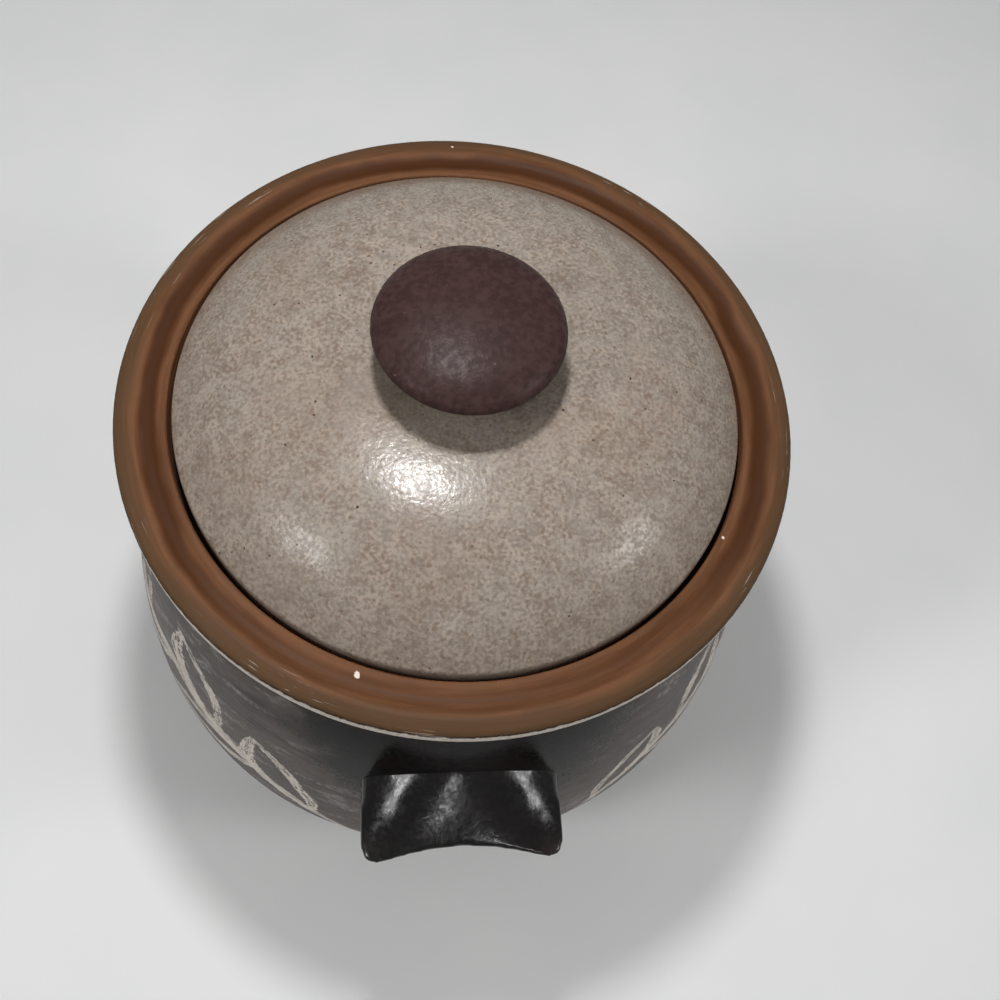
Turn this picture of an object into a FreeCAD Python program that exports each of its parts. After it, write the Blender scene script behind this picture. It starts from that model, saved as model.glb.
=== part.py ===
import FreeCAD, Part
import math
import os
import re

import Sketcher

# Stoneware bean pot with two lug handles and a loose, domed lid with a mushroom knob.
# Millimetres. +Z is up, the origin is the centre of the foot ring's resting plane, and the
# front lug points along -Y.

# ---------------------------------------------------------------- driving dimensions

SIZES = {
    # the pot's foot and floor
    "foot_radius": 62, "foot_width": 8, "foot_height": 3, "foot_recess": 3,
    "floor_height": 9, "floor_radius": 57,
    # its wall, from the belly to the neck and the throat inside it
    "belly_radius": 89.5, "belly_height": 57, "belly_wall": 7,
    "neck_wall": 12, "neck_drop": 19, "throat_drop": 13,
    # its mouth, the ledge that carries the lid, and the broad rim with a cove in its top
    "pot_height": 150, "mouth_radius": 64, "ledge_width": 7.2, "ledge_drop": 6.5,
    "rim_width": 12.8, "rim_edge": 6, "rim_flare": 1.5, "rim_fall": 0.8,
    "cove_width": 6.6, "cove_depth": 1.5, "cove_inset": 1.6,
    # the lid: lid_gap is the clearance all round it
    "lid_gap": 1.2, "lid_edge": 6.3, "lid_rise": 20.4, "lid_wall": 6.5,
    "lid_flank": 14.5, "lid_flank_rise": 14.4, "lid_ring": 8, "lid_ring_drop": 2.7,
    # the knob
    "knob_foot": 10.5, "knob_neck": 8.5, "knob_neck_rise": 5, "knob_radius": 22.2,
    "knob_edge": 2, "knob_edge_rise": 12.2, "knob_side": 3.8, "knob_cap": 7.4,
    # the lugs: crest and lip are the top and bottom of the sloping trough in front
    "lug_crest_reach": 6.5, "lug_crest_drop": 20, "lug_crest_half": 26,
    "lug_lip_reach": 8.7, "lug_lip_drop": 11.5, "lug_lip_half": 24,
    "lug_lip_depth": 8.5, "lug_under": 6, "lug_trough": 66,
    # roundings
    "round_small": 1, "round_rim": 2, "round_cove": 4, "round_throat": 5, "round_floor": 14,
    "round_neck": 9, "round_lid": 2, "round_flank": 50, "round_flank_inside": 32,
    "round_knob": 2.5, "round_knob_side": 4.2, "round_lug": 3.5, "round_lug_corner": 5.5,
}

TINY = 1e-3  # how close two places are when they count as one

doc = FreeCAD.newDocument("BeanPot")
sheet = doc.addObject("Spreadsheet::Sheet", "Sizes")
for row, (alias, size) in enumerate(SIZES.items(), 1):
    sheet.set(f"A{row}", alias)
    sheet.set(f"B{row}", str(size))
    sheet.setAlias(f"B{row}", alias)
doc.recompute()

# Places that several pieces share, as formulas of the sheet's names.
GALLERY = "(mouth_radius + ledge_width)"
RIM = f"({GALLERY} + rim_width)"
NECK = "(mouth_radius + neck_wall)"
NECK_HEIGHT = "(pot_height - neck_drop)"
LEDGE = "(pot_height - ledge_drop)"
LID = f"({GALLERY} - lid_gap)"
LID_TOP = f"({LEDGE} + lid_edge)"
CROWN = f"({LID_TOP} + lid_rise)"


def bound(formula):
    """The formula with each size's name turned into its cell in the sheet."""
    return re.sub(r"[a-z_]+", lambda word: f"Sizes.{word[0]}" if word[0] in SIZES else word[0], formula)


def value(formula):
    return float(sheet.evalExpression(bound(formula)))


# ---------------------------------------------------------------- sketching helpers

def new_body(name):
    body = doc.addObject("PartDesign::Body", name)
    body.Label = name
    return body


def new_sketch(body, name, plane):
    sketch = body.newObject("Sketcher::SketchObject", f"{body.Name}_{name}")
    origin_plane = next(item for item in body.Origin.OriginFeatures if item.Role == plane)
    sketch.AttachmentSupport = (origin_plane, [""])
    sketch.MapMode = "FlatFace"
    return sketch


def pin(sketch, axis, element, place):
    """Hold one coordinate of a point of the sketch at the place that a formula gives."""
    origin = (-1, 1)
    size = value(place)
    if abs(size) < TINY:
        line = -2 if axis == "X" else -1
        sketch.addConstraint(Sketcher.Constraint("PointOnObject", *element, line))
        return
    ends = (*origin, *element) if size > 0 else (*element, *origin)
    index = sketch.addConstraint(Sketcher.Constraint(f"Distance{axis}", *ends, abs(size)))
    formula = bound(place) if size > 0 else f"-({bound(place)})"
    sketch.setExpression(f"Constraints[{index}]", formula)


def arc_centre(start, end, bend):
    """Centre of the arc from start to end: level with one of them, or on the upright axis."""
    (x0, y0), (x1, y1) = start, end
    if bend == "axis":
        return 0.0, (x1 ** 2 + y1 ** 2 - x0 ** 2 - y0 ** 2) / (2 * (y1 - y0))
    level = y0 if bend == "start" else y1
    top = x0 ** 2 + (y0 - level) ** 2 - x1 ** 2 - (y1 - level) ** 2
    return top / (2 * (x0 - x1)), level


def outline(sketch, corners):
    """Draw a closed outline. Each corner is (x formula, y formula) or, where the side that leaves
    it is an arc, (x, y, bend): "start" or "end" sets the arc's centre level with that end of it,
    so that the outline is upright there, and "axis" sets it on the upright axis."""
    places = [(value(corner[0]), value(corner[1])) for corner in corners]
    ends = []
    for index, corner in enumerate(corners):
        here = places[index]
        following = places[(index + 1) % len(places)]
        if len(corner) == 2:
            side = sketch.addGeometry(Part.LineSegment(flat(here), flat(following)))
            ends.append(((side, 1), (side, 2)))
            continue
        centre = arc_centre(here, following, corner[2])
        angles = [math.atan2(y - centre[1], x - centre[0]) for x, y in (here, following)]
        turns_left = (angles[1] - angles[0]) % math.tau < math.pi
        circle = Part.Circle(flat(centre), FreeCAD.Vector(0, 0, 1), math.dist(centre, here))
        first, last = angles if turns_left else reversed(angles)
        side = sketch.addGeometry(Part.ArcOfCircle(circle, first, last))
        ends.append(((side, 1), (side, 2)) if turns_left else ((side, 2), (side, 1)))
        if corner[2] == "axis":
            sketch.addConstraint(Sketcher.Constraint("PointOnObject", side, 3, -2))
        else:
            level_end = ends[index][0] if corner[2] == "start" else ends[index][1]
            sketch.addConstraint(Sketcher.Constraint("Horizontal", side, 3, *level_end))
    for index, corner in enumerate(corners):
        sketch.addConstraint(Sketcher.Constraint("Coincident", *ends[index - 1][1], *ends[index][0]))
        pin(sketch, "X", ends[index][0], corner[0])
        pin(sketch, "Y", ends[index][0], corner[1])


def flat(place):
    return FreeCAD.Vector(place[0], place[1], 0)


def feature(body, kind, name, sketch, **settings):
    made = body.newObject(f"PartDesign::{kind}", f"{body.Name}_{name}")
    made.Profile = sketch
    for key, setting in settings.items():
        setattr(made, key, setting)
    doc.recompute()
    return made


def turned(body, name, corners, kind="Revolution"):
    """Turn a profile a full circle about the upright axis."""
    sketch = new_sketch(body, f"{name}_profile", "XZ_Plane")
    outline(sketch, corners)
    return feature(body, kind, name, sketch, ReferenceAxis=(sketch, ["V_Axis"]), Angle=360)


def rounded(body, name, base, radius, chosen):
    """Fillet the edges of the base feature that the test picks."""
    edges = [f"Edge{number}" for number, edge in enumerate(base.Shape.Edges, 1) if chosen(edge)]
    if not edges:
        raise RuntimeError(f"{body.Name}_{name}: no edge to round")
    fillet = body.newObject("PartDesign::Fillet", f"{body.Name}_{name}")
    fillet.Base = (base, edges)
    fillet.setExpression("Radius", bound(radius))
    doc.recompute()
    return fillet


def ring_edge(*places):
    """Test for the round edges that turn about the upright axis at the (radius, height) places."""
    spots = [(value(radius), value(height)) for radius, height in places]

    def chosen(edge):
        if edge.Degenerated or not isinstance(edge.Curve, Part.Circle):
            return False
        here = (edge.Curve.Radius, edge.Curve.Center.z)
        return any(math.dist(here, spot) < TINY for spot in spots)

    return chosen


# ---------------------------------------------------------------- the pot

OUTER_WALL = [
    ("foot_radius", "foot_height", "end"),
    ("belly_radius", "belly_height", "start"),
]


def make_pot():
    pot = new_body("pot_body")
    rim_top = "(pot_height - rim_fall)"
    rim_under = f"({rim_top} - rim_edge)"
    cove_start = f"({GALLERY} + cove_inset)"
    cove_end = f"({cove_start} + cove_width)"
    cove_middle = f"({cove_start} + cove_width / 2)"
    throat = "(pot_height - throat_drop)"
    corners = [
        ("0", "foot_recess"),
        ("foot_radius - foot_width", "foot_recess"),
        ("foot_radius - foot_width", "0"),
        ("foot_radius", "0"),
        *OUTER_WALL,
        (NECK, NECK_HEIGHT),
        (f"{RIM} - rim_flare", rim_under),
        (RIM, f"{rim_under} + rim_flare"),
        (RIM, rim_top),
        (cove_end, "pot_height"),
        (cove_middle, "pot_height - cove_depth"),
        (cove_start, rim_top),
        (GALLERY, rim_top),
        (GALLERY, LEDGE),
        ("mouth_radius", LEDGE),
        ("mouth_radius", throat),
        (f"{NECK} - belly_wall", NECK_HEIGHT, "end"),
        ("belly_radius - belly_wall", "belly_height", "start"),
        ("floor_radius", "floor_height"),
        ("0", "floor_height"),
    ]
    soft_edges = {
        "neck": ("round_neck", [(NECK, NECK_HEIGHT)]),
        "floor": ("round_floor", [("floor_radius", "floor_height")]),
        "throat": ("round_throat", [("mouth_radius", throat), (f"{NECK} - belly_wall", NECK_HEIGHT)]),
        "cove": ("round_cove", [(cove_middle, "pot_height - cove_depth"), (cove_end, "pot_height")]),
        "rim": ("round_rim", [(RIM, rim_top)]),
        "lips": ("round_small", [(GALLERY, rim_top), ("mouth_radius", LEDGE), ("foot_radius", "0"),
                                 ("foot_radius - foot_width", "0")]),
    }
    last = turned(pot, "form", corners)
    for name, (radius, places) in soft_edges.items():
        last = rounded(pot, name, last, radius, ring_edge(*places))
    return pot


# ---------------------------------------------------------------- the lug handles

def make_lug(name, heading):
    """A lug that points along +X as drawn: a block with a sloping top and a trough-shaped front.
    It is turned about an upright line out in front of it, trimmed to its width, rounded, and cut
    to the wall that it is stuck on. heading turns the finished lug about the pot's axis."""
    lug = new_body(name)
    crest = f"({NECK} + lug_crest_reach)"
    crest_height = f"({NECK_HEIGHT} - lug_crest_drop)"
    lip = "(belly_radius + lug_lip_reach)"
    lip_height = f"({crest_height} - lug_lip_drop)"
    lip_under = f"({lip_height} - lug_lip_depth)"
    root_under = f"({lip_under} - lug_under)"
    front_line = f"({lip} + lug_trough)"
    side = new_sketch(lug, "side", "XZ_Plane")
    outline(side, [
        ("mouth_radius", root_under),
        (crest, root_under),
        (lip, lip_under),
        (lip, lip_height),
        (crest, crest_height),
        ("mouth_radius", crest_height),
    ])
    low, high = flat((value(front_line), 0)), flat((value(front_line), value(crest_height)))
    axis = side.addGeometry(Part.LineSegment(low, high), True)
    for end, height in ((1, "0"), (2, crest_height)):
        pin(side, "X", (axis, end), front_line)
        pin(side, "Y", (axis, end), height)
    block = feature(lug, "Revolution", "block", side, ReferenceAxis=(side, ["Axis0"]), Midplane=True)
    block.setExpression("Angle", bound("3 * asin(lug_lip_half / lug_trough)"))

    taper = f"(lug_crest_half - lug_lip_half) / ({lip} - {crest})"
    half_at_root = f"(lug_crest_half + {taper} * ({crest} - mouth_radius))"
    half_in_front = f"(lug_lip_half - {taper} * lug_lip_half)"
    ends = new_sketch(lug, "ends", "XY_Plane")
    for hand in ("", "-"):
        outline(ends, [
            ("mouth_radius", f"{hand}{half_at_root}"),
            (f"{lip} + lug_lip_half", f"{hand}{half_in_front}"),
            (f"{lip} + lug_lip_half", f"{hand}{front_line}"),
            ("mouth_radius", f"{hand}{front_line}"),
        ])
    trimmed = feature(lug, "Pocket", "trim", ends, Type="ThroughAll", Midplane=True)

    def at_corner(edge):
        box = edge.BoundBox
        return box.XMin > value(lip) and abs(box.ZLength - value("lug_lip_depth")) < TINY

    def round_the_front(edge):
        box = edge.BoundBox
        upright = max(box.XLength, box.YLength) < TINY
        above = box.ZMax > value(lip_height) - TINY
        below = box.ZLength < TINY and abs(box.ZMin - value(lip_under)) < TINY
        return box.XMin > value(crest) - TINY and not upright and (above or below)

    corners = rounded(lug, "corners", trimmed, "round_lug_corner", at_corner)
    soft = rounded(lug, "edges", corners, "round_lug", round_the_front)
    wall = [("0", "foot_height"), *OUTER_WALL, (NECK, NECK_HEIGHT), ("0", NECK_HEIGHT)]
    cut = turned(lug, "seat", wall, "Groove")
    if not 0 < cut.Shape.Volume < soft.Shape.Volume:
        raise RuntimeError(f"{name} isn't cut to the wall")
    turn = FreeCAD.Rotation(FreeCAD.Vector(0, 0, 1), heading)
    lug.Placement = FreeCAD.Placement(FreeCAD.Vector(), turn)
    return lug


# ---------------------------------------------------------------- the lid and its knob

def make_lid():
    lid = new_body("lid")
    ring_inside = f"({LID} - lid_ring)"
    flank = (f"({LID} - lid_flank)", f"({LID_TOP} + lid_flank_rise)")
    flank_inside = (f"({LID} - lid_flank - lid_wall / 2)", f"({LID_TOP} + lid_flank_rise - lid_wall)")
    corners = [
        (LID, LEDGE),
        (LID, LID_TOP),
        (*flank, "axis"),
        ("knob_foot", CROWN),
        ("0", CROWN),
        ("0", f"{CROWN} - lid_wall", "axis"),
        flank_inside,
        (ring_inside, f"{LID_TOP} - lid_ring_drop"),
        (ring_inside, LEDGE),
    ]
    form = turned(lid, "form", corners)
    dome = rounded(lid, "dome", form, "round_flank", ring_edge(flank))
    inside = rounded(lid, "inside", dome, "round_flank_inside", ring_edge(flank_inside))
    edge = rounded(lid, "edge", inside, "round_lid", ring_edge((LID, LID_TOP)))
    rounded(lid, "ring", edge, "round_small", ring_edge((LID, LEDGE), (ring_inside, LEDGE)))
    return lid


def make_knob():
    knob = new_body("lid_knob")
    edge = f"({CROWN} + knob_edge_rise)"
    side = f"({edge} + knob_side)"
    neck = f"({CROWN} + knob_neck_rise)"
    corners = [
        ("0", CROWN),
        ("knob_foot", CROWN),
        ("knob_neck", neck),
        ("knob_radius - knob_edge", f"{edge} - knob_edge"),
        ("knob_radius", edge),
        ("knob_radius", side, "axis"),
        ("0", f"{edge} + knob_cap"),
    ]
    form = turned(knob, "form", corners)
    cap = rounded(knob, "cap", form, "round_knob_side", ring_edge(("knob_radius", side)))
    soft = rounded(knob, "neck", cap, "round_knob", ring_edge(("knob_neck", neck)))
    rounded(knob, "edge", soft, "round_small", ring_edge(("knob_radius", edge)))
    return knob


# ---------------------------------------------------------------- check and write

pieces = [
    make_pot(),
    make_lug("lug_handle_front", -90),
    make_lug("lug_handle_rear", 90),
    make_lid(),
    make_knob(),
]
doc.recompute()
for item in doc.Objects:
    if {"Invalid", "Error"} & set(item.State):
        raise RuntimeError(f"{item.Name} failed: {item.State}")
for piece in pieces:
    shape = piece.Shape
    if shape.isNull() or not shape.isValid() or len(shape.Solids) != 1:
        raise RuntimeError(f"{piece.Label} isn't one valid solid")

os.makedirs("parts", exist_ok=True)
for piece in pieces:
    piece.Shape.exportStep(f"parts/{piece.Label}.step")
    print(f"{piece.Label}: {piece.Shape.Volume / 1000:.1f} cm3, {piece.Shape.BoundBox}")
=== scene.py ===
# %% [markdown]
# # A stoneware bean pot with a loose lid
# Five pieces of fired clay: the pot, its two lug handles, the lid and the lid's knob. The packed
# model gives their true sizes and places, so it is loaded first and stays as it is. Each piece of
# this scene then takes the place of the plain solid that it stands for, in metres, with +Z up and
# the front lug towards -Y.

# %% The imported model
import math

import bpy
from mathutils import Matrix, Vector


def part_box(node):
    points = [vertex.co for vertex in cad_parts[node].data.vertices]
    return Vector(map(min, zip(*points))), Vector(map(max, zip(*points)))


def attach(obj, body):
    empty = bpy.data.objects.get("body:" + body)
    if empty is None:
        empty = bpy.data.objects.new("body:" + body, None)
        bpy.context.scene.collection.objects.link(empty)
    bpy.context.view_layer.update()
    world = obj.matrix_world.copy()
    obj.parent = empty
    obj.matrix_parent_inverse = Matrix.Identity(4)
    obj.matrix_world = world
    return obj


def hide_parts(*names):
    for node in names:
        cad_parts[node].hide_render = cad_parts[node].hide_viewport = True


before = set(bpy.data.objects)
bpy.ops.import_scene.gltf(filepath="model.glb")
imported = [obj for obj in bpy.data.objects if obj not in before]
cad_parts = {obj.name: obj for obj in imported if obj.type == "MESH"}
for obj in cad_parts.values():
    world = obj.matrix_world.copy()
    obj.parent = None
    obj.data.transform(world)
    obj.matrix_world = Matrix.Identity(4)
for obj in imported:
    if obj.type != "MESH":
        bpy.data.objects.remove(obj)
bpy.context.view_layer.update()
MM = 0.001

# %% [markdown]
# # Measures
# The frame's own boxes give the outer sizes, so nothing here can drift away from the solids. What
# a box can't tell, such as how thick a potter leaves the wall, is named once and used below.

# %% Sizes from the frame
pot_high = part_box("pot_body")[1]
lid_low, lid_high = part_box("lid")
knob_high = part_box("lid_knob")[1]
lug_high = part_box("lug_handle_front")[1]

BELLY, POT_HEIGHT = pot_high.x, pot_high.z
LID, LEDGE_HEIGHT, CROWN_HEIGHT = lid_high.x, lid_low.z, lid_high.z
KNOB, KNOB_TOP = knob_high.x, knob_high.z
LUG_TOP = lug_high.z
print(f"belly {BELLY:.4f}, pot {POT_HEIGHT:.4f} high, lid {LID:.4f} at {LEDGE_HEIGHT:.4f}")

# %% Sizes of the clay
BELLY_HEIGHT = 57 * MM
WALL = 7 * MM
FOOT, FOOT_WIDTH, FOOT_HEIGHT, FOOT_RECESS = 62 * MM, 8 * MM, 3 * MM, 3 * MM
FLOOR, FLOOR_HEIGHT = 57 * MM, 9 * MM
MOUTH = 64 * MM
GALLERY = LID + 1.2 * MM
RIM = GALLERY + 12.8 * MM
RIM_TOP = POT_HEIGHT - 0.8 * MM
RIM_UNDER = RIM_TOP - 6 * MM
RIM_FLARE = 1.5 * MM
COVE_START, COVE_WIDTH, COVE_DEPTH = GALLERY + 1.6 * MM, 6.6 * MM, 1.5 * MM
NECK, NECK_HEIGHT = MOUTH + 12 * MM, POT_HEIGHT - 19 * MM
THROAT_HEIGHT = POT_HEIGHT - 13 * MM
UNEVENNESS, UNEVEN_SPREAD = 0.9 * MM, 40 * MM
LID_EDGE = LEDGE_HEIGHT + 6.3 * MM
LID_WALL, LID_RING, LID_HOLLOW_DROP = 6.5 * MM, 8 * MM, 2.7 * MM
KNOB_FOOT, KNOB_NECK = 10.5 * MM, 8.5 * MM
KNOB_EDGE_HEIGHT = CROWN_HEIGHT + 12.9 * MM
SPONGED = 0.9 * MM
SAME_PLACE, NEAR = 0.01 * MM, 0.1 * MM
print(f"rim {RIM:.4f}, gallery {GALLERY:.4f}, neck {NECK:.4f} at {NECK_HEIGHT:.4f}")

# %% [markdown]
# # How a thrown form is made
# A potter throws the pot, the lid and the knob on a wheel, so each is one outline turned about
# the upright axis. It could be a stack of scaled rings, but an outline is easier to read: a
# single point is extruded from corner to corner, chosen corners are softened by a vertex bevel,
# and Spin turns the line once round, as the wheel does. The joints are merged afterwards, which
# also closes the poles.

# %% Picking by hand, in code
def let_go_of_all():
    if bpy.context.object and bpy.context.object.mode != "OBJECT":
        bpy.ops.object.mode_set(mode="OBJECT")
    bpy.ops.object.select_all(action="DESELECT")


def take(piece):
    let_go_of_all()
    piece.select_set(True)
    bpy.context.view_layer.objects.active = piece


def pick(piece, kind, chosen):
    """In edit mode, select only the vertices or faces of the piece that the test picks."""
    bpy.ops.mesh.select_all(action="DESELECT")
    bpy.ops.mesh.select_mode(type=kind)
    bpy.ops.object.mode_set(mode="OBJECT")
    parts = {"VERT": piece.data.vertices, "FACE": piece.data.polygons}
    count = 0
    for part in parts[kind]:
        if chosen(part):
            part.select = True
            count += 1
    bpy.ops.object.mode_set(mode="EDIT")
    return count


def group_points(piece, chosen):
    """Put the vertices that the test picks in a new vertex group, and give back its name."""
    take(piece)
    bpy.ops.object.mode_set(mode="EDIT")
    print(piece.name, "group of", pick(piece, "VERT", chosen), "points")
    bpy.ops.object.vertex_group_add()
    bpy.ops.object.vertex_group_assign()
    bpy.ops.object.mode_set(mode="OBJECT")
    return piece.vertex_groups.active.name


# %% Applying a place or a modifier
def apply_place(piece):
    take(piece)
    bpy.ops.object.transform_apply(location=True, rotation=True, scale=True)


def apply_modifier(piece, kind, **settings):
    take(piece)
    bpy.ops.object.modifier_add(type=kind)
    for key, setting in settings.items():
        setattr(piece.modifiers[-1], key, setting)
    bpy.ops.object.modifier_apply(modifier=piece.modifiers[-1].name)


# %% Drawing an outline, softening it and turning it on the wheel
def draw_outline(name, corners):
    """Extrude one point from corner to corner. Corners are (radius, height)."""
    let_go_of_all()
    radius, height = corners[0]
    bpy.ops.mesh.primitive_plane_add(size=MM, location=(radius, 0, height), enter_editmode=True)
    bpy.ops.mesh.merge(type="CENTER")
    piece = bpy.context.object
    piece.name = piece.data.name = name
    for new_radius, new_height in corners[1:]:
        step = (new_radius - radius, 0, new_height - height)
        bpy.ops.mesh.extrude_vertices_move(TRANSFORM_OT_translate={"value": step})
        radius, height = new_radius, new_height
    bpy.ops.object.mode_set(mode="OBJECT")
    bpy.ops.object.transform_apply(location=True)
    bpy.ops.object.mode_set(mode="EDIT")
    return piece


def soften(piece, corner, width, steps=4):
    """Round one corner of the outline over the width given along its two sides."""
    place = Vector((corner[0], 0, corner[1]))
    found = pick(piece, "VERT", lambda vertex: (vertex.co - place).length < SAME_PLACE)
    if not found:
        raise RuntimeError(f"{piece.name} has no corner at {corner}")
    bpy.ops.mesh.bevel(offset=width, segments=steps, affect="VERTICES")


def turn_on_wheel(piece, steps=144):
    bpy.ops.mesh.select_all(action="SELECT")
    bpy.ops.mesh.spin(steps=steps, angle=math.tau, center=(0, 0, 0), axis=(0, 0, 1))
    bpy.ops.mesh.select_all(action="SELECT")
    bpy.ops.mesh.remove_doubles(threshold=SAME_PLACE)
    bpy.ops.mesh.normals_make_consistent(inside=False)
    bpy.ops.object.mode_set(mode="OBJECT")
    bpy.ops.object.shade_smooth()
    print(f"{piece.name}: {len(piece.data.polygons)} faces")


# %% [markdown]
# # The pot
# The wall swells from a narrow foot to the belly and closes to a neck, where the broad rim turns
# out. Both sides of the wall are arcs that stand upright at the belly, so the formula of such an
# arc gives its points. The rim has a shallow cove in its top, where glaze pools, and a ledge
# inside that carries the lid. A slight unevenness is displaced into the wall alone, because the
# ledge has to stay true for the lid.

# %% Arcs of the outline
def wall_arc(upright, other, steps):
    """Points from an upright end of the wall to its other end, with the first one left out."""
    (r0, z0), (r1, z1) = upright, other
    centre = (r0 ** 2 - r1 ** 2 - (z1 - z0) ** 2) / (2 * (r0 - r1))
    sweep = math.atan2(z1 - z0, r1 - centre)
    turns = [sweep * step / steps for step in range(1, steps + 1)]
    return [(centre + (r0 - centre) * math.cos(t), z0 + (r0 - centre) * math.sin(t)) for t in turns]


def dome(edge, top, steps):
    """Points from a dome's edge up to its top on the axis, without the edge: flat on top, and
    falling away with the fourth power of the radius, as a lid does when a rib has pressed it."""
    radius, low = edge
    shares = [1 - step / steps for step in range(1, steps + 1)]
    return [(radius * share, top - (top - low) * (0.04 * share ** 2 + 0.96 * share ** 4))
            for share in shares]


def cushion(edge, top, steps):
    """Points of a quarter of an ellipse from an upright edge to its top on the axis."""
    (radius, low), turns = edge, [math.pi / 2 * step / steps for step in range(1, steps + 1)]
    return [(radius * math.cos(turn), low + (top - low) * math.sin(turn)) for turn in turns]


# %% The pot's outline, from under the foot, up the wall, over the rim and down to the floor
foot_inner, foot_outer, foot_top = (FOOT - FOOT_WIDTH, 0), (FOOT, 0), (FOOT, FOOT_HEIGHT)
belly_out, belly_in = (BELLY, BELLY_HEIGHT), (BELLY - WALL, BELLY_HEIGHT)
neck_out, neck_in = (NECK, NECK_HEIGHT), (NECK - WALL, NECK_HEIGHT)
rim_side, rim_shoulder = (RIM, RIM_UNDER + RIM_FLARE), (RIM, RIM_TOP)
cove_start, cove_end = (COVE_START, RIM_TOP), (COVE_START + COVE_WIDTH, POT_HEIGHT)
cove_middle = (COVE_START + COVE_WIDTH / 2, POT_HEIGHT - COVE_DEPTH)
gallery_edge, ledge_edge = (GALLERY, RIM_TOP), (MOUTH, LEDGE_HEIGHT)
throat, floor_in = (MOUTH, THROAT_HEIGHT), (FLOOR, FLOOR_HEIGHT)

pot_corners = [(0, FOOT_RECESS), (FOOT - FOOT_WIDTH, FOOT_RECESS), foot_inner, foot_outer]
pot_corners += [foot_top, *reversed(wall_arc(belly_out, foot_top, 9)[:-1]), belly_out]
pot_corners += wall_arc(belly_out, neck_out, 12)
pot_corners += [(RIM - RIM_FLARE, RIM_UNDER), rim_side, rim_shoulder, cove_end, cove_middle]
pot_corners += [cove_start, gallery_edge, (GALLERY, LEDGE_HEIGHT), ledge_edge, throat, neck_in]
pot_corners += [*reversed(wall_arc(belly_in, neck_in, 12)[:-1]), belly_in]
pot_corners += [*wall_arc(belly_in, floor_in, 9), (0, FLOOR_HEIGHT)]
pot = draw_outline("pot_wall", pot_corners)

# %% Corners softened by fingers and sponge
for corner, width, steps in (
    (foot_inner, SPONGED, 4), (foot_outer, SPONGED, 4), (neck_out, 3.5 * MM, 8),
    (rim_side, SPONGED, 4), (rim_shoulder, 1.6 * MM, 6), (cove_end, 1.3 * MM, 6),
    (cove_middle, 1.6 * MM, 8), (cove_start, SPONGED, 4), (gallery_edge, 0.7 * MM, 4),
    (ledge_edge, SPONGED, 4), (throat, 2.2 * MM, 6), (floor_in, 7 * MM, 8),
):
    soften(pot, corner, width, steps)
turn_on_wheel(pot)

# %% The outer wall is a little uneven, as a hand leaves it
unevenness = bpy.data.textures.new("unevenness", "CLOUDS")
unevenness.noise_scale = UNEVEN_SPREAD
outer_wall = group_points(pot, lambda vertex: FOOT_HEIGHT < vertex.co.z < NECK_HEIGHT - 3 * MM
                          and vertex.normal.xy.dot(vertex.co.xy) > 0)
apply_modifier(pot, "DISPLACE", texture=unevenness, texture_coords="LOCAL",
               vertex_group=outer_wall, strength=UNEVENNESS)

# %% [markdown]
# # The lid
# A shallow dome with a flat seat round its edge. Its outline starts on the axis under the crown,
# comes down inside to the seating ring, and goes back over the top. An arc of a ball would be
# simpler, but a rib pressed this crown flatter and its shoulder rounder, and that decides where
# the light catches it.

# %% The lid's outline
lid_inside = LID - LID_RING
lid_under_edge = (lid_inside, LID_EDGE - LID_HOLLOW_DROP)
lid_corners = [*reversed(dome(lid_under_edge, CROWN_HEIGHT - LID_WALL, 16)), lid_under_edge]
lid_corners += [(lid_inside, LEDGE_HEIGHT), (LID, LEDGE_HEIGHT), (LID, LID_EDGE)]
lid_corners += dome((LID, LID_EDGE), CROWN_HEIGHT, 28)
lid = draw_outline("lid_dome", lid_corners)
soften(lid, (lid_inside, LEDGE_HEIGHT), 0.8 * MM)
soften(lid, (LID, LEDGE_HEIGHT), 0.8 * MM)
soften(lid, (LID, LID_EDGE), 0.7 * MM, 6)
turn_on_wheel(lid)

# %% [markdown]
# # The knob
# A mushroom thrown apart and stuck on the crown: a short waisted neck under a cap like a flat
# cushion. The neck's foot reaches a little into the crown, as clay that was pressed on does.

# %% The knob's outline
knob_seat = (KNOB_FOOT + 2 * MM, CROWN_HEIGHT - 0.3 * MM)
knob_heel = (KNOB_FOOT - MM, CROWN_HEIGHT + MM)
knob_neck = (KNOB_NECK, CROWN_HEIGHT + 5 * MM)
knob_under = (KNOB - 2 * MM, KNOB_EDGE_HEIGHT - 2.2 * MM)
knob_edge = (KNOB, KNOB_EDGE_HEIGHT)
knob_corners = [(0, knob_seat[1]), knob_seat, knob_heel, knob_neck, knob_under, knob_edge]
knob_corners += cushion(knob_edge, KNOB_TOP, 20)
knob = draw_outline("knob_cap", knob_corners)
soften(knob, knob_heel, 1.2 * MM)
soften(knob, knob_neck, 2.4 * MM, 6)
soften(knob, knob_under, 0.7 * MM)
turn_on_wheel(knob, 96)

# %% [markdown]
# # The lug handles
# Each lug is a block of clay with a sloping, trough-shaped face, stuck on the shoulder and
# smeared down all round. A box could be carved to shape, but it is easier to draw the block's side
# outline, extrude it across in small steps, and then push each step out and down, as two thumbs
# press the trough in between them. A flattened ball is the clay smeared round the joint. Remeshing
# melts the two together, as wet fingers do. The joint and the crest are smoothed more than the lip
# is. A cone cuts off the back inside the wall, so that nothing comes through it.

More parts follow.
